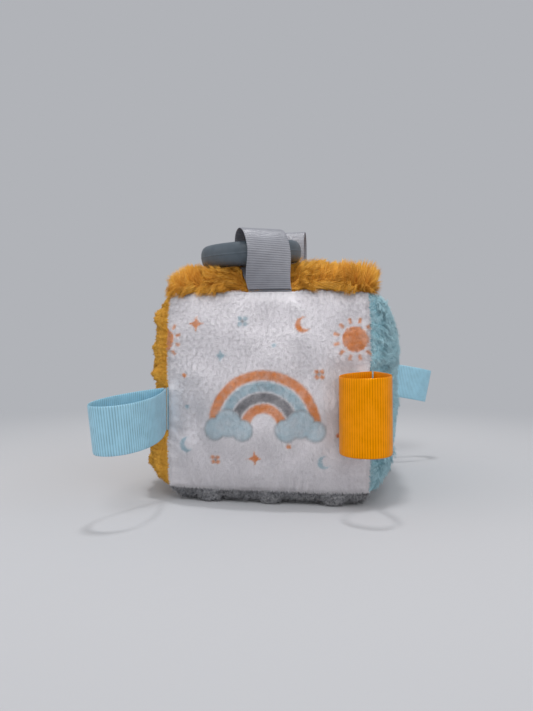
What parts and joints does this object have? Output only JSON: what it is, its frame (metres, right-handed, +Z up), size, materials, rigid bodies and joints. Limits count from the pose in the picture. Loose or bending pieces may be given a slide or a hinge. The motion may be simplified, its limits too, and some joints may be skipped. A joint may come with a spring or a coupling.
{
  "type": "soft fabric block",
  "caption": "Soft stuffed cube with plush, fur and dimpled fabric faces, folded ribbon loops caught in its seams and a soft teething ring hung on one loop.",
  "frame": {"origin": "centre of the flattened base that the block rests on", "axes": "+Z up, front panel towards -Y, +X to the right of someone who faces the front panel"},
  "size_m": [0.1728, 0.1864, 0.1611],
  "materials": {
    "white_plush": "matte",
    "yellow_dimpled": "matte",
    "teal_plush": "matte",
    "mustard_fur": "matte",
    "grey_dimpled": "matte",
    "fibre": "matte",
    "blue_ribbon": "satin",
    "amber_ribbon": "satin",
    "grey_ribbon": "satin",
    "thread": "matte",
    "silicone": "satin"
  },
  "bodies": {
    "block": {"front_panel": "white_plush", "back_panel": "white_plush", "left_panel": "yellow_dimpled", "right_panel": "teal_plush", "top_panel": "mustard_fur", "bottom_panel": "grey_dimpled", "fibre_filling": "fibre", "front_left_ribbon_sewn_end": "blue_ribbon", "front_right_ribbon_sewn_end": "amber_ribbon", "back_right_ribbon_sewn_end": "blue_ribbon", "top_front_ribbon_sewn_end": "grey_ribbon", "top_back_ribbon_sewn_end": "grey_ribbon", "back_left_seam_thread": "thread", "back_right_seam_thread_1": "thread", "back_right_seam_thread_2": "thread", "bottom_back_seam_thread_1": "thread", "bottom_back_seam_thread_2": "thread", "closing_stitch_thread": "thread", "bottom_front_seam_thread": "thread", "bottom_left_seam_thread": "thread", "bottom_right_seam_thread": "thread", "front_left_seam_thread_1": "thread", "front_left_seam_thread_2": "thread", "front_right_seam_thread_1": "thread", "front_right_seam_thread_2": "thread", "top_back_seam_thread_1": "thread", "top_back_seam_thread_2": "thread", "top_front_seam_thread_1": "thread", "top_front_seam_thread_2": "thread", "top_left_seam_thread": "thread", "top_right_seam_thread": "thread"},
    "front_left_loop": {"front_left_ribbon_loop": "blue_ribbon"},
    "front_right_loop": {"front_right_ribbon_loop": "amber_ribbon"},
    "back_right_loop": {"back_right_ribbon_loop": "blue_ribbon"},
    "top_front_loop": {"top_front_ribbon_loop": "grey_ribbon"},
    "top_back_loop": {"top_back_ribbon_loop": "grey_ribbon"},
    "ring": {"teething_ring": "silicone"}
  },
  "joints": [
    {"name": "front_left_loop_bend", "type": "hinge", "parent": "block", "child": "front_left_loop", "pos_m": [-0.05264, -0.05264, 0.0485], "axis": [0, 0, -1], "range_deg": [-38, 95], "stiffness_Nm_per_rad": 0.002},
    {"name": "front_right_loop_bend", "type": "hinge", "parent": "block", "child": "front_right_loop", "pos_m": [0.05264, -0.05264, 0.051], "axis": [0, 0, 1], "range_deg": [-7, 110], "stiffness_Nm_per_rad": 0.002},
    {"name": "back_right_loop_bend", "type": "hinge", "parent": "block", "child": "back_right_loop", "pos_m": [0.05264, 0.05264, 0.06], "axis": [0, 0, 1], "range_deg": [-63, 95], "stiffness_Nm_per_rad": 0.002},
    {"name": "top_front_loop_bend", "type": "hinge", "parent": "block", "child": "top_front_loop", "pos_m": [0.0016, -0.05264, 0.10964], "axis": [1, 0, 0], "range_deg": [0, 90], "stiffness_Nm_per_rad": 0.002},
    {"name": "top_back_loop_bend", "type": "hinge", "parent": "block", "child": "top_back_loop", "pos_m": [0.001, 0.05264, 0.10964], "axis": [1, 0, 0], "range_deg": [-100, 36], "stiffness_Nm_per_rad": 0.002},
    {"name": "ring_swing", "type": "hinge", "parent": "top_front_loop", "child": "ring", "pos_m": [-0.00264, -0.04922, 0.12904], "axis": [0.9057, 0.4115, 0.102], "range_deg": [0, 150]}
  ]
}
